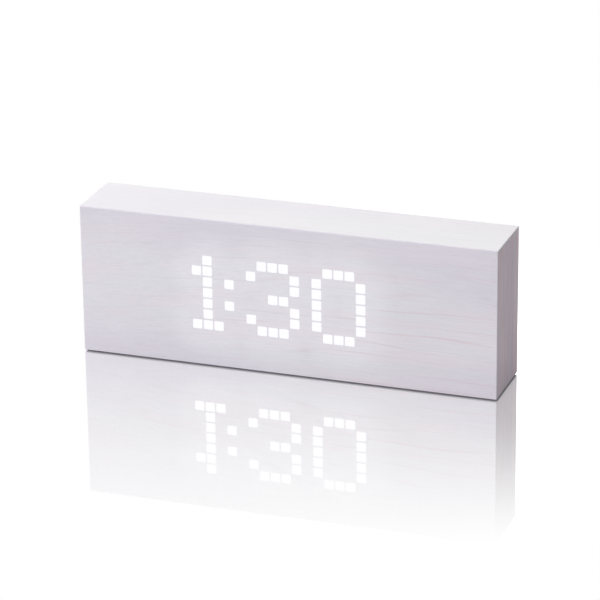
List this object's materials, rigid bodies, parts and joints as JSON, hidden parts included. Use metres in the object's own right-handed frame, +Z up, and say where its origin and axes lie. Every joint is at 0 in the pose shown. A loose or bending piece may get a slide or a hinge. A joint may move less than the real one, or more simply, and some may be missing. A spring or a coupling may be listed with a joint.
{
  "type": "digital alarm clock",
  "caption": "Rectangular wood-veneered block with a dot-matrix display that shines through its front skin, and a recessed back tray with buttons, slide switches, power socket and cell door.",
  "frame": {"origin": "on the table, under the middle of the block, at the bottom of the foot pads", "axes": "+X along the block's width towards its right end as seen from the front, +Y from the display face to the control tray, +Z up"},
  "size_m": [0.21, 0.036, 0.0756],
  "materials": {
    "white_veneer": "white-washed maple, satin",
    "fibreboard": "raw fibreboard, matt",
    "foot_pad": "soft pad, matt",
    "diffuser": "milky film",
    "grid_plastic": "matt white",
    "milky_resin": "milky",
    "white_circuit_board": "satin lacquer",
    "diode": "clear resin over white housing",
    "screw_steel": "zinc-plated",
    "chip_black": "moulded epoxy",
    "socket_ivory": "moulded",
    "flat_cable": "satin film",
    "tray_plastic": "fine texture",
    "green_circuit_board": "satin lacquer",
    "nickel": "nickel-plated",
    "capacitor_sleeve": "shrunk sleeve",
    "black_plastic": "moulded",
    "black_rubber": "moulded",
    "sensor_resin": "dipped",
    "wire_sleeve": "satin",
    "cell_steel": "stamped",
    "button_plastic": "satin",
    "plunger_plastic": "moulded"
  },
  "bodies": {
    "clock_body": {"front_veneer": "white_veneer", "back_veneer": "white_veneer", "top_veneer": "white_veneer", "bottom_veneer": "white_veneer", "left_end_veneer": "white_veneer", "right_end_veneer": "white_veneer", "front_board": "fibreboard", "back_board": "fibreboard", "top_board": "fibreboard", "bottom_board": "fibreboard", "left_end_board": "fibreboard", "right_end_board": "fibreboard", "feet": "foot_pad", "diffuser_film": "diffuser", "light_grid": "grid_plastic", "pixel_lenses": "milky_resin", "led_board": "white_circuit_board", "leds": "diode", "display_screws": "screw_steel", "driver_chips": "chip_black", "ribbon_sockets": "socket_ivory", "display_ribbon": "flat_cable", "control_tray": "tray_plastic", "tray_screws": "screw_steel", "main_board": "green_circuit_board", "main_board_screws": "screw_steel", "microcontroller": "chip_black", "clock_chip": "chip_black", "watch_crystal": "nickel", "voltage_regulator": "chip_black", "capacitors": "capacitor_sleeve", "chip_resistors": "chip_black", "buzzer": "black_plastic", "microphone": "nickel", "microphone_boot": "black_rubber", "thermistor": "sensor_resin", "dc_jack_body": "black_plastic", "dc_jack_pin": "nickel", "dc_jack_nut": "nickel", "dc_jack_terminal": "nickel", "power_wires": "wire_sleeve", "coin_cell": "cell_steel", "cell_base_contact": "nickel", "cell_top_contact": "nickel", "tact_switches": "black_plastic", "slide_switch_cases": "nickel"},
    "mode_button_body": {"mode_button": "button_plastic", "mode_plunger": "plunger_plastic"},
    "set_button_body": {"set_button": "button_plastic", "set_plunger": "plunger_plastic"},
    "up_button_body": {"up_button": "button_plastic", "up_plunger": "plunger_plastic"},
    "down_button_body": {"down_button": "button_plastic", "down_plunger": "plunger_plastic"},
    "alarm_button_body": {"alarm_button": "button_plastic", "alarm_plunger": "plunger_plastic"},
    "alarm_switch": {"alarm_switch_knob": "black_plastic"},
    "sound_switch": {"sound_switch_knob": "black_plastic"},
    "cell_door_body": {"cell_door": "tray_plastic"}
  },
  "joints": [
    {"name": "mode_press", "type": "slide", "parent": "clock_body", "child": "mode_button_body", "axis": [0, -1, 0], "range_m": [0, 0.0004], "stiffness_N_per_m": 400, "springref_m": -0.002},
    {"name": "set_press", "type": "slide", "parent": "clock_body", "child": "set_button_body", "axis": [0, -1, 0], "range_m": [0, 0.0004], "stiffness_N_per_m": 400, "springref_m": -0.002},
    {"name": "up_press", "type": "slide", "parent": "clock_body", "child": "up_button_body", "axis": [0, -1, 0], "range_m": [0, 0.0004], "stiffness_N_per_m": 400, "springref_m": -0.002},
    {"name": "down_press", "type": "slide", "parent": "clock_body", "child": "down_button_body", "axis": [0, -1, 0], "range_m": [0, 0.0004], "stiffness_N_per_m": 400, "springref_m": -0.002},
    {"name": "alarm_press", "type": "slide", "parent": "clock_body", "child": "alarm_button_body", "axis": [0, -1, 0], "range_m": [0, 0.0004], "stiffness_N_per_m": 400, "springref_m": -0.002},
    {"name": "alarm_switch_slide", "type": "slide", "parent": "clock_body", "child": "alarm_switch", "axis": [1, 0, 0], "range_m": [0, 0.002]},
    {"name": "sound_switch_slide", "type": "slide", "parent": "clock_body", "child": "sound_switch", "axis": [1, 0, 0], "range_m": [0, 0.002]},
    {"name": "cell_door_hinge", "type": "hinge", "parent": "clock_body", "child": "cell_door_body", "pos_m": [-0.0678, 0.0108, 0.0381], "axis": [0, 0, 1], "range_deg": [0, 95]}
  ]
}
